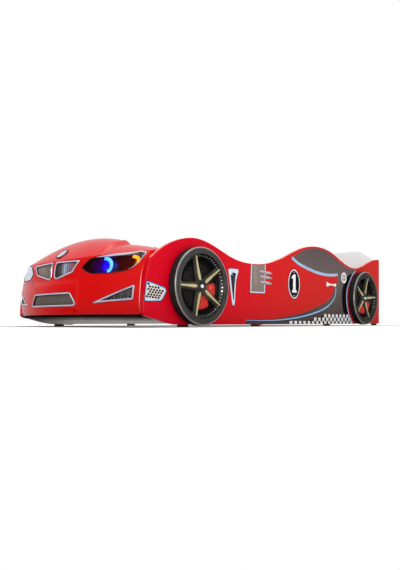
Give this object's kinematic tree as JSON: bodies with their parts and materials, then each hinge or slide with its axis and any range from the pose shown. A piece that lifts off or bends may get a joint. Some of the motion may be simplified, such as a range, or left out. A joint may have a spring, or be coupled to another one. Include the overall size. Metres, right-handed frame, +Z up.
{
  "type": "toddler bed",
  "caption": "Low toddler bed shaped like a sports car: wavy side panels, moulded nose with lit lamps, decorative wheels and a lift-out slatted base.",
  "frame": {"origin": "floor level, under the middle of the bed's overall length and width", "axes": "+Z up, nose of the car towards -Y, +X the car's left side"},
  "size_m": [1.038, 2.1826, 0.508],
  "materials": {
    "red_panel": "gloss lacquered MDF, printed",
    "white_board": "white melamine on MDF",
    "pine": "planed pine, unfinished",
    "zinc": "zinc plated",
    "black_nylon": "moulded, matt",
    "red_abs": "vacuum-formed, high gloss",
    "raw_board": "raw MDF",
    "chrome_trim": "bright trim",
    "grille_grey": "satin dark grey",
    "lamp_black": "gloss black",
    "smoked_lens": "smoked lens",
    "blue_light": "lit light pipe, blue",
    "amber_light": "lit light pipe, amber",
    "tyre_black": "satin black tyre",
    "rim_dark": "dark grey with pale gold ridges",
    "disc_grey": "satin dark disc",
    "caliper_red": "red",
    "hub_white": "white",
    "birch": "bent birch plywood"
  },
  "bodies": {
    "root": {"side_panel_left": "red_panel", "side_panel_right": "red_panel", "headboard": "white_board", "footboard": "white_board", "rail_left": "pine", "rail_right": "pine", "foot_cleat": "pine", "head_cleat": "pine", "corner_bolts": "zinc", "barrel_nuts": "zinc", "rail_screws": "zinc", "wheel_screws": "zinc", "bonnet_screws": "zinc", "floor_glides": "black_nylon", "bonnet_shell": "red_abs", "bonnet_ribs": "raw_board", "bonnet_badge": "chrome_trim", "lower_grille_frame": "chrome_trim", "lower_grille_mesh": "grille_grey", "upper_grille_left": "chrome_trim", "upper_grille_right": "chrome_trim", "grille_bars_left": "grille_grey", "grille_bars_right": "grille_grey", "side_intake_frame_left": "chrome_trim", "side_intake_frame_right": "chrome_trim", "side_intake_mesh_left": "grille_grey", "side_intake_mesh_right": "grille_grey", "lamp_housing_left": "lamp_black", "lamp_housing_right": "lamp_black", "lamp_lens_left": "smoked_lens", "lamp_lens_right": "smoked_lens", "blue_ring_left": "blue_light", "blue_ring_right": "blue_light", "amber_ring_left": "amber_light", "amber_ring_right": "amber_light", "lamp_lead_left": "black_nylon", "lamp_lead_right": "black_nylon", "tyre_front_left": "tyre_black", "tyre_rear_left": "tyre_black", "tyre_front_right": "tyre_black", "tyre_rear_right": "tyre_black", "rim_front_left": "rim_dark", "rim_rear_left": "rim_dark", "rim_front_right": "rim_dark", "rim_rear_right": "rim_dark", "brake_discs": "disc_grey", "brake_calipers": "caliper_red", "hub_caps": "hub_white", "control_box": "lamp_black", "dc_inlet": "black_nylon"},
    "slatted_base": {"base_bar_left": "pine", "base_bar_right": "pine", "base_end_bars": "pine", "slats": "birch", "slat_holders": "black_nylon"},
    "switch": {"rocker_switch": "hub_white"}
  },
  "joints": [
    {"name": "base_lift", "type": "slide", "parent": "root", "child": "slatted_base", "axis": [0, 0, 1], "range_m": [0, 0.42]},
    {"name": "switch_rock", "type": "hinge", "parent": "root", "child": "switch", "pos_m": [0.33, -0.81666, 0.295], "axis": [1, 0, 0], "range_deg": [0, 14]}
  ]
}
